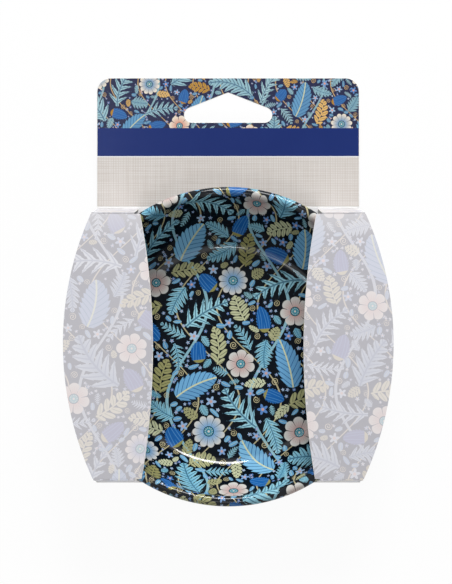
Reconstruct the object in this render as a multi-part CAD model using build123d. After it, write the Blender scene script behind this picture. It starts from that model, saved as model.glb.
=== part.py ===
"""Magnetic pin bowl held in its folded card pack.

The pack lies on its back. Z points up out of the bowl, Y points towards the header card with the
hang hole, and the origin is on the underside of the back panel, straight below the bowl's centre.
All lengths are millimetres.
"""
from math import cos, radians, sin, sqrt
import os

from build123d import *

# The pressed tin bowl, measured on the middle of its sheet
tin = 0.4
rim_radius = 57.5
bowl_depth = 21.6            # rim's top to the inside of the floor
bead_radius = 1.6
bead_turn = 300              # degrees that the rim's edge is rolled through
throat_length = 2.6          # short straight wall under the rolled rim
throat_angle = 82            # degrees from flat
throat_bend_radius = 4.0
wall_end_angle = 66
floor_bend_radius = 5.0
floor_bend_angle = 38

# What is fixed under the bowl's floor
foot_gap = 0.15              # bowl's foot to the card that it lies on
foot_pad_thickness = 0.8
foot_pad_inset = 3.0         # cover's edge to the pad's edge
foot_pad_width = 9.0
cover_inset = 4.2            # edge of the flat floor to the cover's edge
cover_wall = 1.2
cover_floor = 0.8
magnet_side_gap = 2.8        # magnet to the cover's wall
magnet_width = 20.0          # bore to outer edge
magnet_thickness = 2.4
magnet_gap = 0.1             # magnet to the floor of its cover
tape_thickness = 0.3

# Clearances round the bowl
rim_to_wing = 0.35
rim_to_shoulder = 0.5
rim_to_side = 0.45

# The card and how its panels meet
card = 0.45                  # thickness of the board
crease_gap = 0.2             # air left between two panels that share a crease
flap_gap = 0.12              # air between a wing and the shoulders that it tucks against
lid_gap = 0.1                # air between the side walls and the wings that lie on them
shoulder_lift = 0.3          # how far a shoulder's foot stays above the back panel

# The pack's outline, seen from the front. It hugs the rim, which pokes out at both ends.
rim_shown_top = 10.1         # rim past the upper front crease
rim_shown_bottom = 8.8       # rim past the lower front crease
top_draw_in = 9.25           # how much narrower each half is at the top than in the middle
bottom_draw_in = 11.55
wing_width = 31.8            # at its widest, level with the bowl's centre
wing_top_width = 17.45
wing_bottom_width = 16.65

# The back panel reaches past the front at the top and stops short of it at the bottom
upper_lean = 9.3
lower_undercut = 2.0

# The header card
header_margin = 0.1          # how much wider each half is than the sleeve's top
header_length = 48.4
header_corner_radius = 5.2
header_rest_angle = 12       # degrees that the header springs up from the back panel
hole_drop = 5.5              # header's top edge to the hang hole's peak
hole_height = 11.2
hole_half_width = 16.5
hole_end_radius = 2.85
hole_peak_radius = 0.8

# The slits that the shoulders' feet point at
slit_length = 8.3
slit_width = 0.6
slit_inset = 1.1             # card left between the slit and the panel's side edge
slit_setback = 0.75          # slit's middle to the header crease

overrun = 2.0                # how far every cut runs past what it cuts

# Places that follow from the sizes above
pack_top = rim_radius - rim_shown_top
pack_bottom = rim_radius - rim_shown_bottom
header_crease = pack_top + upper_lean
back_bottom = pack_bottom - lower_undercut
middle_half_width = rim_radius + rim_to_side + card
top_half_width = middle_half_width - top_draw_in
bottom_half_width = middle_half_width - bottom_draw_in
header_half_width = top_half_width + header_margin
hole_foot = header_length - hole_drop - hole_height
window_middle_half_width = middle_half_width - wing_width
window_top_half_width = top_half_width - wing_top_width
window_bottom_half_width = bottom_half_width - wing_bottom_width

# Heights that follow from the sizes above
foot_height = card + foot_gap
cover_height = foot_height + foot_pad_thickness
magnet_height = cover_height + cover_floor + magnet_gap
tape_height = magnet_height + magnet_thickness
tin_height = tape_height + tape_thickness
rim_height = tin_height + tin + bowl_depth
front_under = rim_height + rim_to_wing
front_height = front_under + card


def disc_through(first, second, third):
    """The disc whose edge runs through three points, with its furthest X, radius and centre."""
    (x1, y1), (x2, y2), (x3, y3) = first, second, third
    square1, square2, square3 = x1 * x1 + y1 * y1, x2 * x2 + y2 * y2, x3 * x3 + y3 * y3
    cross = 2 * (x1 * (y2 - y3) + x2 * (y3 - y1) + x3 * (y1 - y2))
    middle_x = (square1 * (y2 - y3) + square2 * (y3 - y1) + square3 * (y1 - y2)) / cross
    middle_y = (square1 * (x3 - x2) + square2 * (x1 - x3) + square3 * (x2 - x1)) / cross
    radius = sqrt((x1 - middle_x) ** 2 + (y1 - middle_y) ** 2)
    return Pos(middle_x, middle_y) * Circle(radius), middle_x + radius, radius, (middle_x, middle_y)


def patch(x_low, x_high, y_low, y_high):
    """A flat rectangle between two X places and two Y places."""
    middle = Pos((x_low + x_high) / 2, (y_low + y_high) / 2)
    return middle * Rectangle(x_high - x_low, y_high - y_low)


def slab(flat_shape, height, thickness):
    """A flat shape raised to a height and given its thickness."""
    return Pos(0, 0, height) * extrude(flat_shape, amount=thickness)


def side_prism(points, x_low, x_high):
    """A shape drawn in Y and Z and run from one X place to another."""
    outline = Plane.YZ.offset(x_low) * Polygon(*points, align=None)
    return extrude(outline, amount=x_high - x_low, dir=(1, 0, 0))


def other_side(piece):
    """The same piece on the other side of the pack."""
    return mirror(piece, about=Plane.YZ)


def bent_sheet(start, heading, steps, thickness):
    """The cut face of a bent sheet, in X and Z.

    The sheet's middle line leaves start at heading, in degrees from flat. Each step is a straight
    run, (length, 0), or a bend, (radius, turn), with positive turns bending upwards.
    """
    half = thickness / 2
    left, right = [], []
    (x, z), angle = start, radians(heading)

    def beside(px, pz, direction, reach):
        return (px - reach * sin(direction), 0, pz + reach * cos(direction))

    for size, turn in steps:
        if turn == 0:
            next_x, next_z = x + size * cos(angle), z + size * sin(angle)
            left.append(Line(beside(x, z, angle, half), beside(next_x, next_z, angle, half)))
            right.append(Line(beside(x, z, angle, -half), beside(next_x, next_z, angle, -half)))
            x, z = next_x, next_z
            continue
        bend = radians(turn)
        side = 1 if turn > 0 else -1
        hub_x, hub_z = x - side * size * sin(angle), z + side * size * cos(angle)
        stations = []
        for part_of_turn in (0, bend / 2, bend):
            direction = angle + part_of_turn
            stations.append((hub_x + side * size * sin(direction),
                             hub_z - side * size * cos(direction), direction))
        left.append(ThreePointArc(*[beside(*station, half) for station in stations]))
        right.append(ThreePointArc(*[beside(*station, -half) for station in stations]))
        x, z, angle = stations[2]
    ends = [Line(left[0] @ 0, right[0] @ 0), Line(left[-1] @ 1, right[-1] @ 1)]
    return make_face(Wire(left + right + ends))


def bowl_curve():
    """The hollow wall's radius, and how far out the flat floor reaches, from the rim and depth."""
    slope, steep, throat = radians(floor_bend_angle), radians(wall_end_angle), radians(throat_angle)
    lip_rise = bead_radius * (1 - cos(throat))
    throat_rise = throat_length * sin(throat) + throat_bend_radius * (cos(steep) - cos(throat))
    bend_rise = floor_bend_radius * (1 - cos(slope))
    wall_radius = (bowl_depth - lip_rise - throat_rise - bend_rise) / (cos(slope) - cos(steep))
    lip_run = bead_radius * (sin(throat) + 1) + tin / 2
    throat_run = throat_length * cos(throat) + throat_bend_radius * (sin(throat) - sin(steep))
    wall_run = wall_radius * (sin(steep) - sin(slope)) + floor_bend_radius * sin(slope)
    return wall_radius, rim_radius - lip_run - throat_run - wall_run


wall_radius, floor_radius = bowl_curve()
cover_radius = floor_radius - cover_inset
magnet_radius = cover_radius - cover_wall - magnet_side_gap
magnet_bore_radius = magnet_radius - magnet_width
foot_pad_radius = cover_radius - foot_pad_inset
foot_pad_bore_radius = foot_pad_radius - foot_pad_width


def bowl_shell():
    """Pressed tin: flat floor, hollow sloping wall, short throat and a rolled rim."""
    steps = [
        (floor_radius, 0),
        (floor_bend_radius, floor_bend_angle),
        (wall_radius, wall_end_angle - floor_bend_angle),
        (throat_bend_radius, throat_angle - wall_end_angle),
        (throat_length, 0),
        (bead_radius, -bead_turn),
    ]
    return revolve(bent_sheet((0, tin_height + tin / 2), 0, steps, tin), Axis.Z)


def ring(outer_radius, bore_radius, height, thickness):
    """A flat ring about the bowl's centre."""
    return slab(Circle(outer_radius) - Circle(bore_radius), height, thickness)


def base_cover():
    """Shallow tray that hides the magnet and carries the foot pad."""
    tray = slab(Circle(cover_radius), cover_height, tin_height - cover_height)
    hollow_floor = cover_height + cover_floor
    hollow = slab(Circle(cover_radius - cover_wall), hollow_floor, tin_height - hollow_floor + overrun)
    return tray - hollow


side_points = ((top_half_width, pack_top), (middle_half_width, 0), (bottom_half_width, -pack_bottom))
window_points = ((window_top_half_width, pack_top), (window_middle_half_width, 0),
                 (window_bottom_half_width, -pack_bottom))
side_disc, side_reach, side_radius, side_centre = disc_through(*side_points)
window_disc, _, _, _ = disc_through(*window_points)


def lean_shift(y_front, y_back):
    """The card's thickness measured along Y in a wall that leans from y_back up to y_front."""
    rise = front_height - card - shoulder_lift
    return card * sqrt(rise ** 2 + (y_front - y_back) ** 2) / rise


upper_foot = header_crease - slit_setback
upper_shift = lean_shift(pack_top, upper_foot)
lower_shift = lean_shift(pack_bottom, back_bottom)
wing_top = pack_top - upper_shift - flap_gap
wing_bottom = pack_bottom - lower_shift - flap_gap


def header_card():
    """Header with rounded upper corners and the wide three-cornered hang hole."""
    blank = patch(-header_half_width, header_half_width, crease_gap / 2, header_length)
    upper_corners = blank.vertices().group_by(Axis.Y)[-1]
    blank = fillet(upper_corners, header_corner_radius)
    end_reach = hole_half_width - hole_end_radius
    ends = [Pos(side * end_reach, hole_foot + hole_end_radius) * Circle(hole_end_radius)
            for side in (-1, 1)]
    peak = Pos(0, hole_foot + hole_height - hole_peak_radius) * Circle(hole_peak_radius)
    hole = make_hull([shape.edge() for shape in (*ends, peak)])
    flat = Pos(0, 0, -card) * extrude(blank - hole, amount=card)
    return Pos(0, header_crease, card) * Rot(X=header_rest_angle) * flat


def back_panel():
    """Back of the sleeve, with a slit at each end of the header crease."""
    left_disc = mirror(side_disc, about=Plane.YZ)
    sleeve = side_disc & left_disc & patch(-side_reach, side_reach, -back_bottom, pack_top)
    neck = patch(-top_half_width, top_half_width, pack_top, header_crease - crease_gap / 2)
    slit_end = top_half_width - slit_inset
    slit_middle = header_crease - slit_setback - upper_shift / 2
    slit = patch(slit_end - slit_length, slit_end, slit_middle - slit_width / 2,
                 slit_middle + slit_width / 2)
    return slab(sleeve + neck - slit - mirror(slit, about=Plane.YZ), 0, card)


def side_wall():
    """Curved wall between the back panel and the right wing."""
    inner = Pos(*side_centre) * Circle(side_radius - card)
    strip = (side_disc - inner) & patch(0, side_reach, -pack_bottom, pack_top)
    top = front_under - lid_gap
    wall = slab(strip, card, top - card)
    foot = -back_bottom + lower_shift + flap_gap
    head = -wing_bottom
    outline = ((foot, card), (wing_top, card), (wing_top, top), (head, top))
    return wall & side_prism(outline, 0, side_reach + overrun)


def wing():
    """Right wing of the front: the sleeve's outline less the window."""
    flat = side_disc & window_disc & patch(0, side_reach, -wing_bottom, wing_top)
    return slab(flat, front_under, card)


def shoulder(y_front, y_foot, shift, outer):
    """Narrow wall that closes one end of the sleeve beside the bowl.

    It runs from a front crease down to the back panel. Its inner end stays clear of the rim.
    """
    away = 1 if y_front > 0 else -1
    inner_face = abs(y_front) - shift
    x_inner = sqrt(rim_radius ** 2 - inner_face ** 2) + rim_to_shoulder
    foot = card + shoulder_lift
    points = ((y_front, front_height), (y_foot, foot), (y_foot - away * shift, foot),
              (y_front - away * shift, front_height))
    return side_prism(points, x_inner, outer)


pieces = {
    "dish_shell": bowl_shell(),
    "magnet_ring": ring(magnet_radius, magnet_bore_radius, magnet_height, magnet_thickness),
    "magnet_tape": ring(magnet_radius, magnet_bore_radius, tape_height, tape_thickness),
    "base_cover": base_cover(),
    "foot_pad": ring(foot_pad_radius, foot_pad_bore_radius, foot_height, foot_pad_thickness),
    "back_panel": back_panel(),
    "header_card": header_card(),
}
pairs = {
    "side_wall": side_wall(),
    "wing": wing(),
    "upper_shoulder": shoulder(pack_top, upper_foot, upper_shift, top_half_width),
    "lower_shoulder": shoulder(-pack_bottom, -back_bottom, lower_shift, bottom_half_width),
}
for name, piece in pairs.items():
    pieces[name + "_right"] = piece
    pieces[name + "_left"] = other_side(piece)

os.makedirs("parts", exist_ok=True)
for name, piece in pieces.items():
    piece.label = name
    export_step(piece, f"parts/{name}.step")

print("flat floor radius", round(floor_radius, 2), "wall radius", round(wall_radius, 2))
print("rim top", round(rim_height, 3), "front face", round(front_height, 3))
print("wing hinge x", round(side_reach, 4), "wing y", round(-wing_bottom, 3), round(wing_top, 3))
print("upper shoulder hinge y", round(upper_foot - upper_shift / 2, 4))
print("lower shoulder hinge y", round(-back_bottom + lower_shift / 2, 4))
print("shoulder hinge z", round(card + shoulder_lift, 3))
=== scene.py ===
# %% [markdown]
# # A magnetic pin bowl in its folded card sleeve
#
# The real object is a pressed tin bowl, printed all over with a garden pattern and lacquered, held
# in a sleeve that is folded from one sheet of card. This lesson dresses the packed model of it.
# Every piece is a mesh in metres, in the same frame as the model, so nothing is fitted by eye.

# %% Load the packed model
from math import atan2, ceil, cos, hypot, pi, radians, sin, sqrt
from random import Random

import bmesh
import bpy
import numpy as np
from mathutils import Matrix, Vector
from mathutils.geometry import delaunay_2d_cdt


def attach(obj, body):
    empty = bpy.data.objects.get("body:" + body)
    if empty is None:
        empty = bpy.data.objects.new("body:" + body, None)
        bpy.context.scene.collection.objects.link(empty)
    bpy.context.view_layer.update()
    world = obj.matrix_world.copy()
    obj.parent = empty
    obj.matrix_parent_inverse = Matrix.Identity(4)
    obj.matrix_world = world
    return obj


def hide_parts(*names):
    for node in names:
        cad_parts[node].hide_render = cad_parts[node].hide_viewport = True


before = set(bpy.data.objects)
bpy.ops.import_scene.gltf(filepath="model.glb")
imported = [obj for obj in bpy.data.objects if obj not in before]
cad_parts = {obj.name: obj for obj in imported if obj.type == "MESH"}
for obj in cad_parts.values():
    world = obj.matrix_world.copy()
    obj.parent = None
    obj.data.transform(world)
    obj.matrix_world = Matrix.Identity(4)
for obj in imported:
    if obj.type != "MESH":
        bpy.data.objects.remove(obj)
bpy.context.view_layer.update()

# %% [markdown]
# ## Sizes
#
# The model's own sizes are repeated here in millimetres, because a maker thinks in millimetres.
# A point is multiplied by `MM` only when it goes into a mesh. The few places that the folds need
# are worked out from these, with the same sums as the model uses.

# %% Sizes of the bowl and the card, in millimetres
MM = 0.001
tin = 0.4
rim_radius = 57.5
bowl_depth = 21.6
bead_radius = 1.6
bead_turn = 300
throat_length = 2.6
throat_angle = 82
throat_bend_radius = 4.0
wall_end_angle = 66
floor_bend_radius = 5.0
floor_bend_angle = 38
tin_height = 5.0
rim_height = tin_height + tin + bowl_depth

card = 0.45
crease_gap = 0.2
flap_gap = 0.12
fold_gap = 0.04              # air that shows at a fold, where the real card is closed
lid_gap = 0.1
shoulder_lift = 0.3
rim_clearance = 0.35
front_under = rim_height + rim_clearance
front_height = front_under + card
pack_top, pack_bottom = 47.4, 48.7
header_crease, back_bottom = 56.7, 46.7
middle_half_width, top_half_width, bottom_half_width = 58.4, 49.15, 46.85
window_middle, window_top, window_bottom = 26.6, 31.7, 30.2
rim_to_shoulder = 0.5
header_half_width = 49.25
header_length = 48.4
header_angle = 12
header_corner = 5.2
slit_length, slit_width, slit_inset, slit_setback = 8.3, 0.6, 1.1, 0.75
hole_foot, hole_height, hole_half_width = 31.7, 11.2, 16.5
hole_end_radius, hole_peak_radius = 2.85, 0.8


def disc_through(first, second, third):
    """Centre and radius of the circle through three points."""
    (x1, y1), (x2, y2), (x3, y3) = first, second, third
    s1, s2, s3 = x1 * x1 + y1 * y1, x2 * x2 + y2 * y2, x3 * x3 + y3 * y3
    cross = 2 * (x1 * (y2 - y3) + x2 * (y3 - y1) + x3 * (y1 - y2))
    cx = (s1 * (y2 - y3) + s2 * (y3 - y1) + s3 * (y1 - y2)) / cross
    cy = (s1 * (x3 - x2) + s2 * (x1 - x3) + s3 * (x2 - x1)) / cross
    return cx, cy, hypot(x1 - cx, y1 - cy)


def lean_shift(y_front, y_back):
    """The card's thickness measured along Y in a wall that leans."""
    rise = front_height - card - shoulder_lift
    return card * hypot(rise, y_front - y_back) / rise


side_curve = disc_through((top_half_width, pack_top), (middle_half_width, 0),
                          (bottom_half_width, -pack_bottom))
window_curve = disc_through((window_top, pack_top), (window_middle, 0),
                            (window_bottom, -pack_bottom))
side_reach = side_curve[0] + side_curve[2]
upper_foot = header_crease - slit_setback
upper_shift = lean_shift(pack_top, upper_foot)
lower_shift = lean_shift(pack_bottom, back_bottom)
wing_top = pack_top - upper_shift - fold_gap
wing_bottom = pack_bottom - lower_shift - fold_gap
print("side wall reaches x", round(side_reach, 3), "front face at z", round(front_height, 3))

# %% [markdown]
# ## Writing materials as sums
#
# A node material is quick to read when its maths looks like maths. `Value` wraps one number
# socket, so that `1 - mask` adds its own Math node. `Nodes` owns a node tree, and its `node` method
# makes every other node: settings first, then the values or links of its sockets. A `Finish` is
# the tree of one material.

# %% Numbers that add their own Math nodes
def math_method(operation, swapped=False):
    """A method that adds one Math node for its value and another number."""
    def method(value, other):
        first, second = (other, value) if swapped else (value, other)
        return value.nodes.node("ShaderNodeMath", {"operation": operation}, {0: first, 1: second})
    return method


class Value:
    """A number in a node tree, which can be used in sums."""

    def __init__(self, nodes, socket):
        self.nodes, self.socket = nodes, socket

    __add__ = __radd__ = math_method("ADD")
    __mul__ = __rmul__ = math_method("MULTIPLY")
    __sub__, __rsub__ = math_method("SUBTRACT"), math_method("SUBTRACT", swapped=True)
    __truediv__, __pow__ = math_method("DIVIDE"), math_method("POWER")
    most = math_method("MAXIMUM")
    above, below = math_method("GREATER_THAN"), math_method("LESS_THAN")     # 1 where true, or 0

    def join(self, operation, *others, clamp=False):
        """The value put through any kind of Math node."""
        return self.nodes.node("ShaderNodeMath", {"operation": operation, "use_clamp": clamp},
                               dict(enumerate((self, *others))))

    def __abs__(self):
        return self.join("ABSOLUTE")

    def between_0_and_1(self):
        return self.join("ADD", 0.0, clamp=True)

    def part_of_step(self):
        """What is left of the value after its whole steps."""
        return self.join("FRACT")


print("sums with", sorted(name for name in vars(Value) if not name.startswith("__")))

# %% A material and its one way to make nodes
def tone(red, green, blue):
    """A screen colour from 0 to 255 as the linear colour that Blender wants."""
    def linear(c):
        c = c / 255
        return c / 12.92 if c <= 0.04045 else ((c + 0.055) / 1.055) ** 2.4
    return (linear(red), linear(green), linear(blue), 1.0)


class Nodes:
    """A node tree and the one way to add to it."""

    def __init__(self, tree):
        self.tree = tree

    def node(self, kind, settings=None, inputs=None, output=0):
        """Add a node, set it up, feed it, and give back one of its outputs."""
        node = self.tree.nodes.new(kind)
        for name, value in (settings or {}).items():
            setattr(node, name, value)
        for key, value in (inputs or {}).items():
            if isinstance(value, Value):
                self.tree.links.new(value.socket, node.inputs[key])
            else:
                node.inputs[key].default_value = value
        return Value(self, node.outputs[output])

    def outputs(self, value, *names):
        """Other outputs of the node that a value came from."""
        return [Value(self, value.socket.node.outputs[name]) for name in names]


class Finish(Nodes):
    """A material made of nodes, with one Principled shader."""

    def __init__(self, name, roughness=0.5, **constants):
        self.material = bpy.data.materials.new(name)
        self.material.use_nodes = True
        super().__init__(self.material.node_tree)
        self.shader = self.tree.nodes["Principled BSDF"]
        self.shader.inputs["Roughness"].default_value = roughness
        for socket, value in constants.items():
            self.shader.inputs[socket.replace("_", " ")].default_value = value

    def give(self, **links):
        """Link values to the shader's sockets."""
        for name, value in links.items():
            self.tree.links.new(value.socket, self.shader.inputs[name.replace("_", " ")])

    def mix(self, factor, first, second):
        """The first colour where the factor is 0 and the second where it is 1."""
        factor_socket, first_socket, second_socket, colour_output = 0, 6, 7, 2
        return self.node("ShaderNodeMix", {"data_type": "RGBA"},
                         {factor_socket: factor, first_socket: first, second_socket: second},
                         output=colour_output)

    def coats(self, colour, *coats):
        """A colour with others over it, each given as the share that it covers and the colour."""
        for share, over in coats:
            colour = self.mix(share, colour, over)
        return colour

    def split(self, vector):
        """The three numbers of a vector."""
        return self.outputs(self.node("ShaderNodeSeparateXYZ", None, {0: vector}), "X", "Y", "Z")

    def attribute(self, name, output="Vector"):
        """What a mesh keeps on its points: a Vector, or a number as Fac."""
        return self.node("ShaderNodeAttribute", {"attribute_name": name}, output=output)

    def object_place(self):
        """The point on the object, in millimetres."""
        place = self.node("ShaderNodeTexCoord", output="Object")
        return self.node("ShaderNodeVectorMath", {"operation": "SCALE"}, {0: place, 3: 1 / MM})

    def noise(self, place, scale, detail=2.0, stretch=(1, 1, 1)):
        """Soft random values. The scale says how many lumps there are to a millimetre."""
        scaled = self.node("ShaderNodeVectorMath", {"operation": "MULTIPLY"},
                           {0: place, 1: stretch})
        return self.node("ShaderNodeTexNoise", {"noise_dimensions": "3D"},
                         {"Vector": scaled, "Scale": scale, "Detail": detail}, output="Fac")

    def bump(self, height, strength, distance):
        """Turn a height into small dents. The distance is in millimetres."""
        normal = self.node("ShaderNodeBump", None,
                           {"Height": height, "Strength": strength, "Distance": distance * MM})
        self.give(Normal=normal)


def grained(name, lumps, tones, rough, dents, clouds=None, stretch=(1, 1, 1), **constants):
    """A finish whose roughness and dents follow one noise, and its colour that noise or clouds."""
    finish = Finish(name, **constants)
    place = finish.object_place()
    grain = finish.noise(place, *lumps, stretch=stretch)
    shade = finish.noise(place, *clouds) if clouds else grain
    dark, light = (tone(*colour) for colour in tones)
    finish.give(Base_Color=finish.mix(shade, dark, light), Roughness=rough[0] + rough[1] * grain)
    finish.bump(grain, *dents)
    return finish


print("white as a tone", [round(c, 3) for c in tone(255, 255, 255)])

# %% [markdown]
# ## The garden pattern
#
# The bowl and the card carry one printed pattern of leaves and flowers. It could be scattered by a
# Voronoi texture, but such leaves are cut off at the cells' edges and never grow from anything.
# Here a small layout program plants motifs where there is room. Each mesh then stores, for each
# of its points, where that point lies inside the nearest leaf, and the material draws the leaf from
# that. The drawing stays sharp however close the camera comes, because only places are stored.

# %% One printed motif
class Motif:
    """A leaf that grows along a curved rib, or a round flower."""

    def __init__(self, ink, x, y, heading, length, half_width, curl, tint):
        self.ink, self.x, self.y, self.heading = ink, x, y, heading
        self.length, self.half_width, self.curl, self.tint = length, half_width, curl, tint

    def middle(self):
        """A point in the middle of the motif and how far the motif reaches from it."""
        if self.ink == "bloom":
            return self.x, self.y, self.half_width
        half_turn = self.curl * self.length / 4
        chord = self.length / 2 * (1 - half_turn ** 2 / 6)
        direction = self.heading + half_turn
        reach = self.length / 2 + self.half_width
        return self.x + chord * cos(direction), self.y + chord * sin(direction), reach

    def place(self, x, y):
        """For printed points x and y: place along, place across, and millimetres inside."""
        dx, dy = x - self.x, y - self.y
        along = dx * cos(self.heading) + dy * sin(self.heading)
        across = dy * cos(self.heading) - dx * sin(self.heading)
        if self.ink == "bloom":
            radius = np.hypot(along, across)
            return along / self.half_width, across / self.half_width, self.half_width - radius
        hub = 1 / self.curl
        side = 1 if hub > 0 else -1
        distance = np.hypot(along, across - hub)
        u = abs(hub) * np.arctan2(along, side * (hub - across)) / self.length
        v = side * (abs(hub) - distance) / self.half_width
        swell = np.clip(u, 0, 1) ** leaf_lean
        outline = (4 * swell * (1 - swell)) ** leaf_fullness
        inside = (outline - np.abs(v)) * self.half_width
        past_end = np.maximum(-u, u - 1) * self.length
        return u, v, np.where(past_end > 0, -np.hypot(past_end, v * self.half_width), inside)


inks = ("fern", "leaf", "sprig", "bloom")
leaf_lean = 0.8              # below 1, the widest place moves towards the leaf's foot
leaf_fullness = 0.6
straight = Motif("leaf", 0.0, 0.0, 0.0, 10.0, 3.0, 0.001, 0.5)
print("millimetres inside at a leaf's middle", round(float(straight.place(5.0, 0.0)[2]), 2))

# %% Plant the garden where there is room
garden_x, garden_y = (-74.0, 74.0), (-74.0, 110.0)
plot = 0.5                   # side of one square of the map of planted ground
gap_between_inks = -0.05     # below 0, leaves of different inks may just touch
gap_within_ink = 0.35
plot_margin = 1.0            # how far round a new motif the map is looked at
least_bend, most_bend = 0.4, 1.0
vine_spacing, vine_wave, vine_sway = 30.0, 70.0, 7.3


def vine_heading(y):
    """Direction in which the vines run at a height on the sheet."""
    slope = vine_sway * 2 * pi / vine_wave * cos(2 * pi * y / vine_wave)
    return pi / 2 - atan2(slope, 1)


# ink, tries, lengths, half widths, curl per mm, spread of headings, tints, least spacing
plan = (
    ("bloom", 260, (1, 1), (5.4, 6.3), 0.01, 180, (0.00, 0.33), 25.0),
    ("leaf", 400, (15, 20), (4.6, 5.8), 0.04, 60, (0.40, 1.0), 30.0),
    ("leaf", 800, (7.5, 10), (2.8, 3.6), 0.045, 110, (0.0, 0.35), 21.0),
    ("fern", 3000, (17, 26), (4.9, 6.5), 0.044, 80, (0.0, 1.0), 0.0),
    ("sprig", 900, (10, 15), (2.8, 3.8), 0.055, 110, (0.0, 1.0), 10.5),
    ("fern", 5000, (9, 14), (2.8, 3.9), 0.06, 180, (0.0, 1.0), 0.0),
    ("bloom", 1500, (1, 1), (1.7, 2.2), 0.01, 180, (0.34, 0.66), 7.0),
    ("sprig", 3000, (5, 9), (1.7, 2.4), 0.08, 180, (0.2, 1.0), 4.5),
    ("fern", 7000, (5.5, 8), (1.9, 2.6), 0.08, 180, (0.0, 1.0), 0.0),
    ("bloom", 1500, (1, 1), (1.1, 1.5), 0.01, 180, (0.67, 1.0), 5.0),
    ("fern", 6000, (3.6, 5.5), (1.2, 1.7), 0.1, 180, (0.0, 1.0), 0.0),
    ("leaf", 6000, (2.6, 4.6), (0.75, 1.1), 0.1, 180, (0.4, 1.0), 0.0),
    ("sprig", 4000, (3.0, 5.0), (1.0, 1.4), 0.1, 180, (0.3, 1.0), 0.0),
    ("bloom", 4000, (1, 1), (0.6, 0.9), 0.01, 180, (0.34, 0.66), 0.0),
)


def plant_garden(seed):
    """Try motifs one after another and keep those that fit between the others."""
    chance = Random(seed)
    columns = np.arange(garden_x[0], garden_x[1], plot)
    rows = np.arange(garden_y[0], garden_y[1], plot)
    taken = np.zeros((len(rows), len(columns)), bool)
    taken_by = {ink: taken.copy() for ink in inks}
    garden = []
    for ink, tries, lengths, half_widths, curl, spread, tints, spacing in plan:
        kept = []
        free = np.argwhere(~taken)
        for _ in range(tries):
            row, column = free[chance.randrange(len(free))]
            x = columns[column] + chance.uniform(0, plot)
            y = rows[row] + chance.uniform(0, plot)
            heading = vine_heading(y) + radians(chance.uniform(-spread, spread))
            bend = curl * chance.choice((-1, 1)) * chance.uniform(least_bend, most_bend)
            motif = Motif(ink, x, y, heading, chance.uniform(*lengths),
                          chance.uniform(*half_widths), bend, chance.uniform(*tints))
            if spacing and any(hypot(x - other.x, y - other.y) < spacing for other in kept):
                continue
            cx, cy, reach = motif.middle()
            spot = (np.searchsorted(rows, cy) - 1, np.searchsorted(columns, cx) - 1)
            if min(spot) < 0 or taken[spot]:
                continue
            reach += plot_margin
            window = tuple(slice(*np.searchsorted(lines, (middle - reach, middle + reach)))
                           for lines, middle in ((rows, cy), (columns, cx)))
            if not taken[window].size:
                continue
            grid_x, grid_y = np.meshgrid(columns[window[1]], rows[window[0]])
            inside = motif.place(grid_x, grid_y)[2]
            if (taken[window] & (inside > -gap_between_inks)).any():
                continue
            if (taken_by[ink][window] & (inside > -gap_within_ink)).any():
                continue
            taken[window] |= inside > 0
            taken_by[ink][window] |= inside > 0
            kept.append(motif)
        garden += kept
    return garden, taken.mean()


garden, covered = plant_garden(seed=11)
planted = {ink: [motif for motif in garden if motif.ink == ink] for ink in inks}
print("motifs", len(garden), "covering", round(float(covered), 2), "of the sheet")

# %% Store the pattern on a mesh
far_outside = -5.0           # millimetres inside, for points that no motif is near
print_margin = 1.5           # how far outside a motif its place is still stored


def store(mesh, name, kind, values):
    """Keep a FLOAT or a FLOAT_VECTOR for each point of the mesh."""
    layer = mesh.attributes.new(name, kind, "POINT")
    layer.data.foreach_set("value" if kind == "FLOAT" else "vector",
                           np.asarray(values, np.float32).ravel())


def print_pattern(mesh, places):
    """Keep each point's place in the pattern. The places are in millimetres on the flat sheet."""
    x, y = places[:, 0], places[:, 1]
    count = len(places)
    for ink in inks:
        stored = np.zeros((count, 3))
        stored[:, 2] = far_outside
        tints = np.zeros(count)
        for motif in planted[ink]:
            cx, cy, reach = motif.middle()
            reach += print_margin
            near = np.nonzero((np.abs(x - cx) < reach) & (np.abs(y - cy) < reach))[0]
            if not len(near):
                continue
            u, v, inside = motif.place(x[near], y[near])
            better = inside > stored[near, 2]
            chosen = near[better]
            stored[chosen] = np.stack((u, v, inside), 1)[better]
            tints[chosen] = motif.tint
        store(mesh, ink, "FLOAT_VECTOR", stored)
        store(mesh, ink + "_tint", "FLOAT", tints)
    store(mesh, "sheet", "FLOAT_VECTOR", np.pad(places, ((0, 0), (0, 1))))


print("planted", {ink: len(motifs) for ink, motifs in planted.items()})

# %% [markdown]
# ## Drawing the motifs
#
# Each ink reads its stored place. `along` runs from 0 at a leaf's foot to 1 at its tip, `across`
# from -1 to 1. A lobed edge is then a saw wave along the leaf that leans forwards as `across`
# grows, and a vein is the same wave drawn thin. Flowers turn their place into a radius and an
# angle. Every drawing gives the share that it covers and its colour.

# %% Colours of the garden pattern
def ink_tones(others=(), **screen_colours):
    """A table of tones, with those of another table where no new colour is given."""
    return {**dict(others), **{name: tone(*colour) for name, colour in screen_colours.items()}}


dish_tones = ink_tones(
    ground=(2, 8, 18), vine=(134, 178, 192), rib=(204, 208, 170), bud=(24, 92, 162),
    fern_dark=(104, 170, 198), fern_light=(166, 216, 226), fern_vein=(40, 88, 118),
    leaf_blue=(94, 156, 206), leaf_pale=(128, 188, 222), leaf_vein=(38, 86, 138),
    sprig_green=(146, 142, 84), sprig_cream=(206, 212, 178), sprig_vein=(66, 74, 44),
    petal=(205, 205, 200), petal_heart=(196, 160, 156), eye=(58, 138, 156),
    blossom=(74, 124, 190), blossom_pale=(168, 196, 222), tendril=(196, 186, 146))
print("tones", len(dish_tones))

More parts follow.
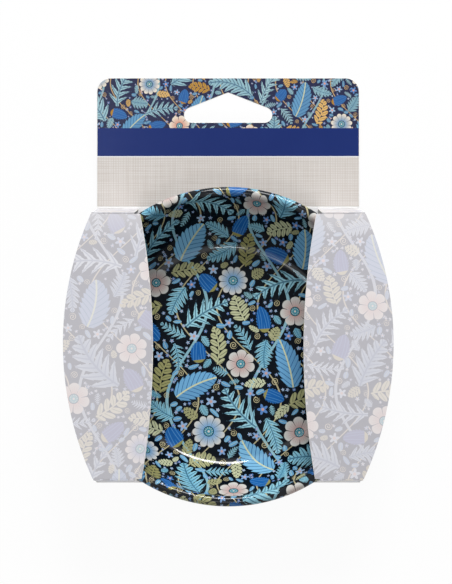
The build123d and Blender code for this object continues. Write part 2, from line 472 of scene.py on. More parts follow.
# %% What all leaves share
def shape_of_leaf(finish, ink):
    """Along, across, beside the rib, the outline's half width, millimetres inside and tint."""
    along, across, inside = finish.split(finish.attribute(ink))
    tint = finish.attribute(ink + "_tint", output="Fac")
    side = abs(across)
    swell = along.between_0_and_1() ** leaf_lean
    outline = (4 * swell * (1 - swell)) ** leaf_fullness
    return along, across, side, outline, inside, tint


def edge(value, softness):
    """0 outside, 1 inside, with a short ramp so that the printed edge isn't jagged."""
    return (value / softness).between_0_and_1()


print("leaf lean", leaf_lean, "and fullness", leaf_fullness)

# %% Ferns with forward lobes
fern_lobes = 6
open_from = 0.45             # ferns with a higher tint have narrower lobes


def draw_ferns(finish, tones):
    """A lobe is what a saw wave leaves of the outline, thinned by small notches."""
    along, _, side, outline, inside, tint = shape_of_leaf(finish, "fern")
    lobe = (along * fern_lobes - side * 1.3).part_of_step()
    off_middle = abs(lobe - 0.5)
    spread = side / (outline + 0.02)
    notches = (spread * 3 + 0.2).part_of_step()
    openness = 0.1 * tint.above(open_from)
    lobes = 0.54 - openness - 0.42 * spread ** (2.2 - 8 * openness) - 0.09 * notches - off_middle
    rib = 0.15 - 0.1 * along - side
    drawn = edge(lobes.most(rib), 0.05) * inside.above(0.05)
    veins = off_middle.below(0.07).most(side.below(0.05))
    body = finish.coats(tones["fern_dark"], (tint, tones["fern_light"]),
                        (spread.between_0_and_1() * 0.6, tones["fern_light"]),
                        (veins * 0.8, tones["fern_vein"]))
    return drawn, body


print("ferns", len(planted["fern"]), "with", fern_lobes, "lobes a side")

# %% Toothed leaves and striped buds
leaf_teeth = 8
buds_below = 0.37            # leaves with a lower tint are drawn as buds


def draw_leaves(finish, tones):
    """The edge is the outline with teeth. A bud is striped where a leaf has a rib and veins."""
    along, across, side, outline, inside, tint = shape_of_leaf(finish, "leaf")
    teeth = (along * leaf_teeth - side * 0.9).part_of_step()
    drawn = edge(outline * (0.82 + 0.18 * teeth) - side, 0.05) * inside.above(0.03)
    is_bud = tint.below(buds_below)
    veins = (along * leaf_teeth - side * 2.4).part_of_step().below(0.16)
    hatch = (along * (3 * leaf_teeth) - side * 5).part_of_step().below(0.3)
    body = finish.coats(tones["leaf_blue"], (tint, tones["leaf_pale"]),
                        (across.below(0) * 0.22, tones["leaf_vein"]),
                        (veins * 0.85 + hatch * 0.15, tones["leaf_vein"]),
                        (side.below(0.055), tones["rib"]))
    stripes = (side * 3.2 + along * 0.6).part_of_step().below(0.24)
    bud = finish.coats(tones["bud"], (stripes * 0.55, tones["leaf_blue"]),
                       (along.below(0.14), tones["sprig_green"]))
    return drawn, finish.mix(is_bud, body, bud)


print("leaves and buds", len(planted["leaf"]), "with", leaf_teeth, "teeth a side")

# %% Sprigs of small leaves
sprig_leaves = 5


def draw_sprigs(finish, tones):
    """The leaves of the two sides are half a step apart."""
    along, across, side, outline, inside, tint = shape_of_leaf(finish, "sprig")
    step = along * sprig_leaves - side * 0.75 + across.below(0) * 0.5
    off_middle = abs(step.part_of_step() - 0.5)
    spread = (side / (outline + 0.02)).between_0_and_1()
    leaflet = 0.46 * (4 * spread * (1 - spread)) ** 0.55 - off_middle
    drawn = edge(leaflet.most(0.09 - side), 0.05) * inside.above(0.03)
    veins = off_middle.below(0.05) * side.above(0.1)
    body = finish.coats(tones["sprig_green"], (tint, tones["sprig_cream"]),
                        (veins * 0.75, tones["sprig_vein"]))
    return drawn, body


print("sprigs", len(planted["sprig"]), "with", sprig_leaves, "leaves a side")

# %% Flowers and tendrils
daisies_below, tendrils_above = 0.335, 0.665
asters_below = 0.12          # of the daisies, those with a lower tint are blue
daisy_petals, aster_petals, blossom_petals = 7, 11, 5
eye_radius, eye_rim = 0.27, 0.31


def draw_blooms(finish, tones):
    """The big open flower, pink or blue, the small flower and the curled tendril."""
    x, y, inside = finish.split(finish.attribute("bloom"))
    tint = finish.attribute("bloom_tint", output="Fac")
    radius = (x * x + y * y) ** 0.5
    turn = y.join("ARCTAN2", x)
    is_daisy, is_tendril = tint.below(daisies_below), tint.above(tendrils_above)
    # the big open flower
    is_aster = tint.below(asters_below)
    half_petals = daisy_petals / 2 + (aster_petals - daisy_petals) / 2 * is_aster
    gap = abs((turn * half_petals).join("COSINE"))
    petals = edge(0.72 + 0.26 * gap ** 0.5 - radius, 0.03)
    slots = gap.below(0.15 * radius) * radius.above(0.34)
    streaks = abs((turn * 14).join("SINE")).below(0.22) * radius.below(0.7)
    seeds = abs((turn * 6).join("SINE")).below(0.5) * abs(radius - 0.2).below(0.035)
    face = finish.coats(
        tones["petal_heart"], (is_aster, tones["leaf_blue"]),
        ((radius * 1.5 - 0.35).between_0_and_1(), tones["petal"]),
        (streaks * 0.3, tones["sprig_vein"]), (radius.below(eye_rim), tones["ground"]),
        (radius.below(eye_radius), tones["eye"]), (seeds.most(radius.below(0.07)), tones["petal"]))
    daisy = petals * (1 - slots) * is_daisy
    # the small flower
    small_wave = (turn * blossom_petals).join("COSINE")
    blossom = edge(0.72 + 0.26 * small_wave - radius, 0.05) * (1 - is_daisy) * (1 - is_tendril)
    small_face = finish.coats(tones["blossom"], ((tint - 0.34) * 3.1, tones["blossom_pale"]),
                              (radius.below(0.26), tones["petal_heart"]))
    # the curled tendril
    coil = (radius * 2.1 - turn / (2 * pi)).part_of_step()
    tendril = abs(coil - 0.5).below(0.17) * radius.below(0.94) * is_tendril
    drawn_face = finish.coats(small_face, (is_daisy, face), (is_tendril, tones["tendril"]))
    return (daisy + blossom + tendril) * inside.above(0.0), drawn_face


print("flowers and tendrils", len(planted["bloom"]))

# %% The ground, and all inks over it
vine_half_width, twig_half_width = 0.55, 0.28


def draw_ground(finish, tones):
    """The dark ground with the vines that show between the leaves."""
    x, y, _ = finish.split(finish.attribute("sheet"))
    sway = (y * (2 * pi / vine_wave)).join("SINE") * vine_sway

    def stem(place, spacing, half_width):
        across = (place / spacing).part_of_step() - 0.5
        return abs(across * spacing).below(half_width)
    twig = stem(x + sway * 1.6, vine_spacing / 2, twig_half_width)
    return finish.coats(tones["ground"], (twig * 0.8, tones["tendril"]),
                        (stem(x - sway, vine_spacing, vine_half_width), tones["vine"]))


def garden_print(finish, tones):
    """The whole pattern, one ink over another."""
    drawn = [draw(finish, tones) for draw in (draw_sprigs, draw_leaves, draw_ferns, draw_blooms)]
    return finish.coats(draw_ground(finish, tones), *drawn)


print("vines every", vine_spacing, "mm")

# %% [markdown]
# ## The tin bowl
#
# The bowl is pressed from one disc of tin: a flat floor, a hollow wall, a short throat and a rim
# rolled outwards. One curve describes it, so it is spun from a profile with Geometry Nodes. The
# print was on the flat disc before pressing, so each point also keeps its radius on that disc.

# %% The bowl's profile
def bowl_steps():
    """The bends and runs of the sheet, and where the flat floor ends."""
    slope, steep, throat = radians(floor_bend_angle), radians(wall_end_angle), radians(throat_angle)
    lip_rise = bead_radius * (1 - cos(throat))
    throat_rise = throat_length * sin(throat) + throat_bend_radius * (cos(steep) - cos(throat))
    bend_rise = floor_bend_radius * (1 - cos(slope))
    wall_radius = (bowl_depth - lip_rise - throat_rise - bend_rise) / (cos(slope) - cos(steep))
    lip_run = bead_radius * (sin(throat) + 1) + tin / 2
    throat_run = throat_length * cos(throat) + throat_bend_radius * (sin(throat) - sin(steep))
    wall_run = wall_radius * (sin(steep) - sin(slope)) + floor_bend_radius * sin(slope)
    floor_radius = rim_radius - lip_run - throat_run - wall_run
    return [(floor_radius, 0), (floor_bend_radius, floor_bend_angle),
            (wall_radius, wall_end_angle - floor_bend_angle),
            (throat_bend_radius, throat_angle - wall_end_angle), (throat_length, 0),
            (bead_radius, -bead_turn)]


def face_of_sheet(offset, counts):
    """Points (radius, height, radius on the flat disc) along one face of the bent sheet."""
    x, z, angle, run = 0.0, tin_height + tin / 2, 0.0, 0.0
    points = [(0.0, z + offset, 0.0)]
    for (size, turn), count in zip(bowl_steps(), counts):
        for i in range(1, count + 1):
            if turn == 0:
                ahead, direction = size * i / count, angle
                px, pz = x + ahead * cos(angle), z + ahead * sin(angle)
            else:
                side = 1 if turn > 0 else -1
                direction = angle + radians(turn) * i / count
                px = x - side * size * (sin(angle) - sin(direction))
                pz = z + side * size * (cos(angle) - cos(direction))
            points.append((px - offset * sin(direction), pz + offset * cos(direction), run))
        run += size if turn == 0 else size * abs(radians(turn))
        x, z, angle = px, pz, direction
    return points


# points along floor, floor bend, wall, throat bend, throat and bead
inner_counts, outer_counts = (64, 12, 34, 4, 5, 26), (3, 5, 8, 2, 1, 14)
inner_face = face_of_sheet(tin / 2, inner_counts)
outer_face = face_of_sheet(-tin / 2, outer_counts)
blank_area, blank_radii = 0.0, [0.0]
for (r0, z0, _), (r1, z1, _) in zip(inner_face, inner_face[1:]):
    blank_area += (r0 + r1) * hypot(r1 - r0, z1 - z0)
    blank_radii.append(sqrt(blank_area))
print("profile points", len(inner_face), len(outer_face))
print("flat disc radius", round(blank_radii[-1], 2))

# %% Where the lacquer gathers
thin_lacquer, bend_lacquer, bead_lacquer = 0.1, 1.0, 0.45
bead_fade = 3                # points over which the lacquer thickens at the bead
floor_end = inner_counts[0]
bend_end = floor_end + inner_counts[1]
bead_start = sum(inner_counts[:5])
lacquer = []
for i in range(len(inner_face)):
    through_bend = (i - floor_end) / (bend_end - floor_end)
    in_bend = sin(pi * through_bend) if 0 < through_bend < 1 else 0.0
    on_bead = min(1.0, max(0.0, (i - bead_start) / bead_fade))
    lacquer.append(thin_lacquer + (bend_lacquer - thin_lacquer) * in_bend
                   + (bead_lacquer - thin_lacquer) * on_bead)
print("lacquer from", min(lacquer), "to", max(lacquer))

# %% The profile as a wire
spindle = 0.0001             # radius of the circle that the profile is swept along
spins = 512
bare = -1.0                  # stands for the disc's radius on the face that has no print


def bowl_profile():
    """The closed profile as a wire, with the flat disc's radius and the lacquer on its points."""
    path = [(r, z) for r, z, _ in inner_face] + [(r, z) for r, z, _ in reversed(outer_face)]
    mesh = bpy.data.meshes.new("tin_bowl")
    mesh.from_pydata([(r * MM - spindle, -z * MM, 0) for r, z in path],
                     [(i, i + 1) for i in range(len(path) - 1)], [])
    store(mesh, "blank_radius", "FLOAT", blank_radii + [bare] * len(outer_face))
    store(mesh, "lacquer", "FLOAT", lacquer + [thin_lacquer] * len(outer_face))
    return mesh


print("wire of", len(inner_face) + len(outer_face), "points, swept in", spins, "steps")

# %% Spin the profile
def spin_tree():
    """Geometry Nodes that sweep a wire round the Z axis, and its sockets' identifiers."""
    tree = bpy.data.node_groups.new("Spin a profile", "GeometryNodeTree")
    identifiers = {}
    for name, way, kind in (("Profile", "INPUT", "Geometry"), ("Steps in a turn", "INPUT", "Int"),
                            ("Spindle", "INPUT", "Float"), ("Finish", "INPUT", "Material"),
                            ("Spun", "OUTPUT", "Geometry")):
        socket = tree.interface.new_socket(name, in_out=way, socket_type="NodeSocket" + kind)
        identifiers[name] = socket.identifier
    given, result, wire, circle, sweep, merge, realize, dress = (
        tree.nodes.new(kind) for kind in (
            "NodeGroupInput", "NodeGroupOutput", "GeometryNodeMeshToCurve",
            "GeometryNodeCurvePrimitiveCircle", "GeometryNodeCurveToMesh",
            "GeometryNodeMergeByDistance", "GeometryNodeRealizeInstances",
            "GeometryNodeSetMaterial"))
    merge.inputs["Distance"].default_value = 0.01 * MM
    for source, given_out, target, taken_in in (
            (given, "Profile", wire, "Mesh"), (given, "Steps in a turn", circle, "Resolution"),
            (given, "Spindle", circle, "Radius"), (circle, "Curve", sweep, "Curve"),
            (wire, "Curve", sweep, "Profile Curve"), (sweep, "Mesh", merge, "Geometry"),
            (merge, "Geometry", realize, "Geometry"), (realize, "Geometry", dress, "Geometry"),
            (given, "Finish", dress, "Material"), (dress, "Geometry", result, "Spun")):
        tree.links.new(source.outputs[given_out], target.inputs[taken_in])
    return tree, identifiers


def linked(name, data):
    """A new object in the scene."""
    thing = bpy.data.objects.new(name, data)
    bpy.context.scene.collection.objects.link(thing)
    return thing


def new_piece(name, mesh, body, slot, *nodes):
    """Link a finished mesh, make it ride on its body and stand for its nodes."""
    piece = linked(name, mesh)
    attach(piece, body)
    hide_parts(*nodes)


tree, identifiers = spin_tree()
print("nodes that spin", len(tree.nodes), "with inputs", list(identifiers)[:-1])

# %% Lacquered print and bare tinplate
printed_tin = Finish("printed_tin", Specular_IOR_Level=0.02, Coat_Roughness=0.05)
place = printed_tin.object_place()
mottle = printed_tin.noise(place, 0.35, 3.0)
haze = (mottle - 0.4).between_0_and_1() * 0.12
print_colour = printed_tin.mix(haze, garden_print(printed_tin, dish_tones), tone(60, 84, 96))
printed_tin.give(Base_Color=print_colour, Roughness=0.28 + 0.1 * mottle,
                 Coat_Weight=printed_tin.attribute("lacquer", output="Fac"))
printed_tin.bump(printed_tin.noise(place, 0.5, 1.0), 0.12, 0.05)

bare_tin = grained("bare_tin", (1.6, 3.0), ((150, 152, 155), (180, 181, 181)), (0.24, 0.2),
                   (0.15, 0.02), clouds=(0.08, 2.0), stretch=(0.05, 1, 1), Metallic=1.0,
                   Coat_Weight=0.3, Coat_Roughness=0.1)
print("nodes in the printed tin", len(printed_tin.tree.nodes))

# %% Make the bowl
spinner = linked("bowl_spinner", bowl_profile())
spin = spinner.modifiers.new("Spin", "NODES")
spin.node_group = tree
for name, value in (("Steps in a turn", spins), ("Spindle", spindle),
                    ("Finish", printed_tin.material)):
    spin[identifiers[name]] = value
graph = bpy.context.evaluated_depsgraph_get()
bowl_mesh = bpy.data.meshes.new_from_object(spinner.evaluated_get(graph))
spinner.modifiers.clear()
bpy.data.objects.remove(spinner)
print("bowl faces", len(bowl_mesh.polygons))

# %% Reading a mesh
def read(items, name, length=1, kind=np.float64):
    """The named numbers of all the items of a mesh, as one array."""
    values = np.empty(len(items) * length, kind)
    items.foreach_get(name, values)
    return values.reshape(-1, length) if length > 1 else values


def volume_of(mesh):
    """Signed volume, positive when the faces point outwards."""
    mesh.calc_loop_triangles()
    corners = read(mesh.loop_triangles, "vertices", 3, np.int32)
    a, b, c = read(mesh.vertices, "co", 3)[corners].transpose(1, 0, 2)
    return float(np.einsum("ij,ij->i", a, np.cross(b, c)).sum() / 6)


points = read(bowl_mesh.vertices, "co", 3)
print("bowl height", points[:, 2].min() / MM, points[:, 2].max() / MM)

# %% Print the bowl
off_the_sheet = 200.0        # a place in millimetres where nothing is planted
blank = read(bowl_mesh.attributes["blank_radius"].data, "value", kind=np.float32)
turned = np.arctan2(points[:, 1], points[:, 0])
flat_places = np.stack((blank * np.cos(turned), blank * np.sin(turned)), 1)
bowl_mesh.materials.append(bare_tin.material)
loops = read(bowl_mesh.loops, "vertex_index", kind=np.int32)
starts = read(bowl_mesh.polygons, "loop_start", kind=np.int32)
printed_face = np.minimum.reduceat(blank[loops], starts) >= 0
bowl_mesh.polygons.foreach_set("material_index", (~printed_face).astype(np.int32))
bowl_mesh.polygons.foreach_set("use_smooth", np.ones(len(starts), bool))
print_pattern(bowl_mesh, np.where(blank[:, None] < 0, off_the_sheet, flat_places))
bowl_mesh.update()
new_piece("tin_bowl", bowl_mesh, "bowl", "printed_tin", "dish_shell")
print("tin volume in cubic millimetres", round(volume_of(bowl_mesh) / MM ** 3, 1))
print("printed faces", int(printed_face.sum()))

# %% [markdown]
# ## The folded card
#
# The sleeve is one sheet of board, folded into panels. A cube could stand for a panel, but its
# corners would be too sharp and the printed face needs many points to carry the pattern. So each
# panel is drawn flat, filled with small triangles, and given soft edges where the paper's white
# core shows. A `lift` function then takes the flat drawing to its place in the fold.

# %% Drawing a flat outline
fine_step = 0.8              # millimetres between points of an outline
print_step = 0.72            # between points of a printed face
soft_edge = 0.12             # how far a cut edge is rounded
fold_softness = 0.2          # share of that at a fold, whose gap has to stay a hair line


def run(start, end):
    """Evenly spaced points from start up to, but not including, end."""
    count = max(1, ceil(hypot(end[0] - start[0], end[1] - start[1]) / fine_step))
    return [(start[0] + (end[0] - start[0]) * i / count, start[1] + (end[1] - start[1]) * i / count)
            for i in range(count)]


def polyline(*corners):
    """A closed outline with evenly spaced points between its corners."""
    points = []
    for start, end in zip(corners, corners[1:] + corners[:1]):
        points += run(start, end)
    return points


def arc(cx, cy, radius, start, end, count):
    """Points on a circle from one angle to another, in degrees, with both ends."""
    return [(cx + radius * cos(radians(start + (end - start) * i / count)),
             cy + radius * sin(radians(start + (end - start) * i / count)))
            for i in range(count + 1)]


def levels(low, high):
    """Evenly spaced Y values from low to high, with both ends."""
    count = ceil((high - low) / fine_step)
    return [low + (high - low) * i / count for i in range(count + 1)]


def side_x(y):
    """X of the sleeve's curved side, on the right."""
    return side_curve[0] + sqrt(side_curve[2] ** 2 - (y - side_curve[1]) ** 2)


def window_x(y):
    """X of the window's curved edge, on the right."""
    return window_curve[0] - sqrt(window_curve[2] ** 2 - (y - window_curve[1]) ** 2)


def hull(points):
    """The convex outline round the points, anticlockwise."""
    points = sorted(set(points))
    chains = []
    for ordered in (points, points[::-1]):
        chain = []
        for x, y in ordered:
            while len(chain) > 1:
                (ax, ay), (bx, by) = chain[-2:]
                if (bx - ax) * (y - ay) - (by - ay) * (x - ax) > 0:
                    break
                chain.pop()
            chain.append((x, y))
        chains += chain[:-1]
    return chains


def mirrored(outline):
    """The same outline on the other side of the pack, still anticlockwise."""
    return [(-x, y) for x, y in reversed(outline)]


print("side and window at the middle", round(side_x(0), 2), round(window_x(0), 2))

# %% Filling an outline
def inward(loop, reach):
    """Each point of an outline moved to the left of the way that it runs.

    The reach is one number, or one for each point.
    """
    loop = np.array(loop)
    ahead = np.roll(loop, -1, 0) - loop
    ahead /= np.linalg.norm(ahead, axis=1)[:, None]
    both = ahead + np.roll(ahead, 1, 0)
    both /= np.linalg.norm(both, axis=1)[:, None]
    return loop + np.stack((-both[:, 1], both[:, 0]), 1) * np.reshape(reach, (-1, 1))


def inside_loops(points, loops):
    """Which points lie inside the outline and outside its holes."""
    found = np.zeros(len(points), bool)
    x, y = points[:, 0], points[:, 1]
    for loop in loops:
        ends = np.roll(loop, -1, 0)
        for (x0, y0), (x1, y1) in zip(loop, ends):
            crosses = (y0 > y) != (y1 > y)
            if crosses.any():
                found ^= crosses & (x < (x1 - x0) * (y - y0) / (y1 - y0) + x0)
    return found


def fill(loops, step):
    """Triangles that fill the outlines, with a point every step where a step is given."""
    least_room, same_point = 0.6, 1e-6           # in steps, and in millimetres
    points, edges = [], []
    for loop in loops:
        first = len(points)
        points += [tuple(point) for point in loop]
        edges += [(first + i, first + (i + 1) % len(loop)) for i in range(len(loop))]
    if step:
        low, high = np.min(loops[0], 0), np.max(loops[0], 0)
        rows = np.arange(low[1], high[1], step * sqrt(3) / 2)
        grid = np.array([(x + (i % 2) * step / 2, y) for i, y in enumerate(rows)
                         for x in np.arange(low[0], high[0], step)])
        grid = grid[inside_loops(grid, loops)]
        border = np.array(points)
        clear = np.ones(len(grid), bool)
        for x, y in border:
            clear &= np.hypot(grid[:, 0] - x, grid[:, 1] - y) > step * least_room
        points += [tuple(point) for point in grid[clear]]
    flat = [Vector(point) for point in points]
    corners, _, faces, *_ = delaunay_2d_cdt(flat, edges, [], 0, same_point)
    corners, faces = (np.array([tuple(row) for row in table]) for table in (corners, faces))
    kept = inside_loops(corners[faces].mean(1), loops)
    return corners, faces[kept]


square = fill([polyline((0, 0), (4, 0), (4, 4), (0, 4))], fine_step)
print("a square of 4 mm is filled with", len(square[1]), "triangles")

# %% A panel of board
# how far in each ring of an edge lies, as a share of the softness, and how deep
edge_rings = ((1.0, 0.0), (0.3, soft_edge * 0.3), (0.0, soft_edge), (0.0, card - soft_edge),
              (0.3, card - soft_edge * 0.3), (1.0, card))
same_corner = 0.002          # corners of a panel that are closer than this become one


def board(name, rides, loops, lift, pattern_place, finishes, step=print_step, creased=None):
    """A panel: printed face, soft cut edge and plain face. Holes run clockwise.

    Where `creased(x, y)` holds, the edge is a fold, so the print runs on over it. `rides` holds
    the panel's body, its slot, which is not used, and the node that it stands for.
    """
    loops = [np.array(loop) for loop in loops]
    folded = [np.array([bool(creased and creased(x, y)) for x, y in loop]) for loop in loops]
    softness = [np.where(fold, soft_edge * fold_softness, soft_edge) for fold in folded]
    points, places, depths, faces, slots = [], [], [], [], []

    def add(flat, depth, printed=None):
        first = len(points)
        points.extend(tuple(point) for point in flat)
        places.extend(tuple(point) for point in (flat if printed is None else printed))
        depths.extend([depth] * len(flat))
        return first

    inner_loops = [inward(loop, soft) for loop, soft in zip(loops, softness)]
    corners, triangles = fill(inner_loops, step)
    add(corners, 0.0)
    faces += [tuple(face) for face in triangles]
    slots += [0] * len(triangles)
    corners, triangles = fill(inner_loops, None)
    first = add(corners, card)
    faces += [tuple(first + face[::-1]) for face in triangles]
    slots += [2] * len(triangles)
    for loop, soft, fold in zip(loops, softness, folded):
        starts = [add(inward(loop, reach * soft), depth, inward(loop, -depth * fold))
                  for reach, depth in edge_rings]
        count = len(loop)
        for upper, lower in zip(starts, starts[1:]):
            for i in range(count):
                j = (i + 1) % count
                faces.append((upper + i, lower + i, lower + j, upper + j))
                slots.append(0 if fold[i] and fold[j] else 1)
    mesh = bpy.data.meshes.new(name)
    spots = [tuple(c * MM for c in lift(x, y, depth)) for (x, y), depth in zip(points, depths)]
    mesh.from_pydata(spots, [], faces)
    for finish in finishes:
        mesh.materials.append(finish.material)
    mesh.polygons.foreach_set("material_index", slots)
    print_pattern(mesh, pattern_place(np.array(places)))
    joined = bmesh.new()
    joined.from_mesh(mesh)
    bmesh.ops.remove_doubles(joined, verts=joined.verts, dist=same_corner * MM)
    joined.to_mesh(mesh)
    joined.free()
    new_piece(name, mesh, *rides)
    print(name, "faces", len(mesh.polygons), "volume", round(volume_of(mesh) / MM ** 3, 1))


print("rings round an edge", len(edge_rings))

# %% [markdown]
# ## Card finishes
#
# The wings carry the garden pattern under a white veil, which is a mix in screen values, so the
# print goes through a Gamma node first. The header has a woven linen field, a thin white line, a
# navy band and the pattern in brighter inks. All the card has faint fibres and a satin varnish.

# %% The wings' print under its veil
card_tones = ink_tones(
    dish_tones, ground=(8, 10, 34), vine=(160, 168, 190), bud=(56, 58, 128),
    fern_dark=(112, 132, 172), fern_light=(196, 206, 226), fern_vein=(70, 84, 132),
    leaf_blue=(96, 122, 190), leaf_pale=(150, 170, 212), sprig_green=(176, 152, 104),
    sprig_cream=(212, 194, 156), petal=(228, 206, 196), petal_heart=(222, 168, 158),
    tendril=(206, 180, 146), blossom=(110, 132, 190), blossom_pale=(190, 198, 220))
header_tones = ink_tones(
    dish_tones, ground=(38, 42, 74), vine=(140, 176, 186), bud=(46, 98, 164),
    fern_dark=(128, 174, 190), fern_light=(178, 212, 218), fern_vein=(62, 96, 128),
    leaf_blue=(84, 146, 192), leaf_pale=(112, 164, 200), sprig_green=(180, 132, 46),
    sprig_cream=(232, 190, 120), sprig_vein=(120, 84, 40), petal=(238, 226, 208),
    petal_heart=(228, 158, 134), tendril=(212, 176, 120))
screen_gamma = 2.2


def fibres(finish, place, strength=0.25):
    """Paper fibres as small dents, and the value that they came from."""
    grain = finish.noise(place, 3.0, 4.0)
    finish.bump(grain, strength, 0.03)
    return grain


def veiled(finish, colour, amount, veil):
    """Mix a colour towards the veil in screen values."""
    on_screen = finish.node("ShaderNodeGamma", None, {"Color": colour, "Gamma": 1 / screen_gamma})
    mixed = finish.mix(amount, on_screen, veil)
    return finish.node("ShaderNodeGamma", None, {"Color": mixed, "Gamma": screen_gamma})


wing_print = Finish("wing_print", Specular_IOR_Level=0.3, Coat_Weight=0.45, Coat_Roughness=0.25)
place = wing_print.object_place()
grain = fibres(wing_print, place)
veil_on_screen = tuple(c / 255 for c in (222, 220, 222)) + (1.0,)
# The second share is painted sheen: extra veil that pales the card towards its upper end, standing
# in for brighter light there.
veil_share, painted_sheen_veil = 0.785, 0.11
painted_sheen_start, painted_sheen_length = 37.0, 11.0         # painted sheen: the veil grows thicker towards the wings' upper end and over the upper shoulders, as if brighter light fell there
_, height, _ = wing_print.split(wing_print.attribute("sheet"))
# Painted sheen: the extra veil ramps in with height on the sheet.
painted_sheen_ramp = ((height - painted_sheen_start) / painted_sheen_length).between_0_and_1()
wing_print.give(Base_Color=veiled(wing_print, garden_print(wing_print, card_tones),
                                  veil_share + painted_sheen_veil * painted_sheen_ramp, veil_on_screen),
                Roughness=0.42 + 0.15 * grain)
print("nodes in the wings' print", len(wing_print.tree.nodes))

# %% Cut and plain board
cut_board = grained("cut_board", (4.0, 3.0), ((226, 223, 216), (250, 249, 246)), (0.7, 0.2),
                    (0.4, 0.03), stretch=(0.6, 0.6, 6), Specular_IOR_Level=0.2)
plain_board = Finish("plain_board", Specular_IOR_Level=0.25)
place = plain_board.object_place()
grain = fibres(plain_board, place, 0.4)
clouds = plain_board.noise(place, 0.12, 3.0)
specks = plain_board.noise(place, 1.1, 1.0).above(0.76)
board_colour = plain_board.coats(tone(221, 220, 220), (clouds, tone(235, 234, 236)),
                                 (specks * 0.35, tone(176, 168, 152)))
plain_board.give(Base_Color=board_colour, Roughness=0.6 + 0.2 * grain)
print("board finishes", cut_board.material.name, plain_board.material.name)

# %% Header print
linen_end, band_end, line_width = 18.7, 29.6, 0.35
header_print_scale, header_print_foot = 1.45, 20.0
threads_per_mm, thread_width = 1.08, 0.16


def linen(finish, x, y):
    """Woven threads both ways, each with its own weight."""
    place = finish.node("ShaderNodeCombineXYZ", None, {"X": x, "Y": y})
    across = finish.noise(place, 1.0, 1.0, stretch=(2.4, 0.05, 1))
    down = finish.noise(place, 1.0, 1.0, stretch=(0.05, 2.4, 1))
    warp, weft = (abs((value * threads_per_mm).part_of_step() - 0.5).below(thread_width)
                  for value in (x, y))
    weight = (across + down - 0.8) * 1.2
    return finish.coats(tone(226, 222, 218), (weight.between_0_and_1(), tone(205, 197, 190)),
                        (warp.most(weft) * 0.3, tone(190, 174, 160)))


header_print = Finish("header_print", Specular_IOR_Level=0.05, Coat_Weight=0.3, Coat_Roughness=0.2)
place = header_print.object_place()
grain = fibres(header_print, place)
x, y, _ = header_print.split(header_print.attribute("sheet"))
from_crease = (y - header_print_foot) / header_print_scale
cloth = linen(header_print, x / header_print_scale, from_crease)
navy = header_print.mix(header_print.noise(place, 0.1, 2.0), tone(8, 37, 106), tone(18, 43, 111))
fields = header_print.coats(
    cloth, (from_crease.above(linen_end), tone(246, 246, 246)),
    (from_crease.above(linen_end + line_width), navy),
    (from_crease.above(band_end), garden_print(header_print, header_tones)))
header_print.give(Base_Color=fields, Roughness=0.4 + 0.15 * grain)
print("nodes in the header's print", len(header_print.tree.nodes))

# %% [markdown]
# ## Wings, walls and shoulders
#
# Two wings make the front. Each is hinged on a curved side wall, and narrow shoulders close the
# sleeve's ends beside the bowl. Left and right are mirrored outlines, not mirrored meshes, so
# their faces keep pointing outwards.

# %% Front wings
touching = 0.01              # a point this near to a line lies on it
past_window = 0.5


def wing_outline():
    """The right wing, seen from the front."""
    heights = levels(-wing_bottom, wing_top)
    side = [(side_x(y), y) for y in heights]
    window = [(window_x(y), y) for y in reversed(heights)]
    return side[:-1] + run(side[-1], window[0]) + window[:-1] + run(window[-1], side[0])


def lift_wing(x, y, depth):
    return x, y, front_height - depth


def as_drawn(flat):
    return flat


def wing_creased(x, y):
    """A wing is cut only along the window."""
    at_end = y > wing_top - touching or y < touching - wing_bottom
    return at_end or abs(x) > window_x(y) + past_window


card_finishes = (wing_print, cut_board, plain_board)
sides = (("right", 1), ("left", -1))
for side, sign in sides:
    outline = wing_outline() if sign > 0 else mirrored(wing_outline())
    board("wing_card_" + side, (side + "_wing", "pale_print", "wing_" + side), [outline],
          lift_wing, as_drawn, card_finishes, creased=wing_creased)

# %% Side walls
wall_top = front_under - lid_gap
side_radius = side_curve[2]


def wall_outline():
    """The right wall unrolled: millimetres along the curve, and down from its top edge."""
    def along(y):
        return side_radius * np.arcsin((y - side_curve[1]) / side_radius)
    foot, top, bottom = (along(y) for y in (-back_bottom + lower_shift + flap_gap,
                                            wing_top + fold_gap - flap_gap,
                                            -wing_bottom - fold_gap + flap_gap))
    deep = wall_top - card
    return polyline((foot, -deep), (top, -deep), (top, 0.0), (bottom, 0.0))


def wall_creased(along, height):
    return height > -touching


def wall_lift(sign):
    """On the left, the mirrored drawing runs the other way along the curve."""
    def lift(along, height, depth):
        angle = sign * along / side_radius
        reach = side_radius - depth
        return (sign * (side_curve[0] + reach * cos(angle)), side_curve[1] + reach * sin(angle),
                wall_top + height)
    return lift


def wall_place(sign):
    """The wing's pattern runs on over the fold and down the wall."""
    def place(flat):
        angle = sign * flat[:, 0] / side_radius
        reach = side_radius - flat[:, 1]
        return np.stack((sign * (side_curve[0] + reach * np.cos(angle)),
                         side_curve[1] + reach * np.sin(angle)), 1)
    return place


for side, sign in sides:
    loop = wall_outline() if sign > 0 else mirrored(wall_outline())
    board("wall_card_" + side, ("pack", "pale_print", "side_wall_" + side), [loop],
          wall_lift(sign), wall_place(sign), card_finishes, creased=wall_creased)

# %% Shoulders
foot_height = card + shoulder_lift
crease_margin = 0.05         # how far below the front crease a shoulder starts


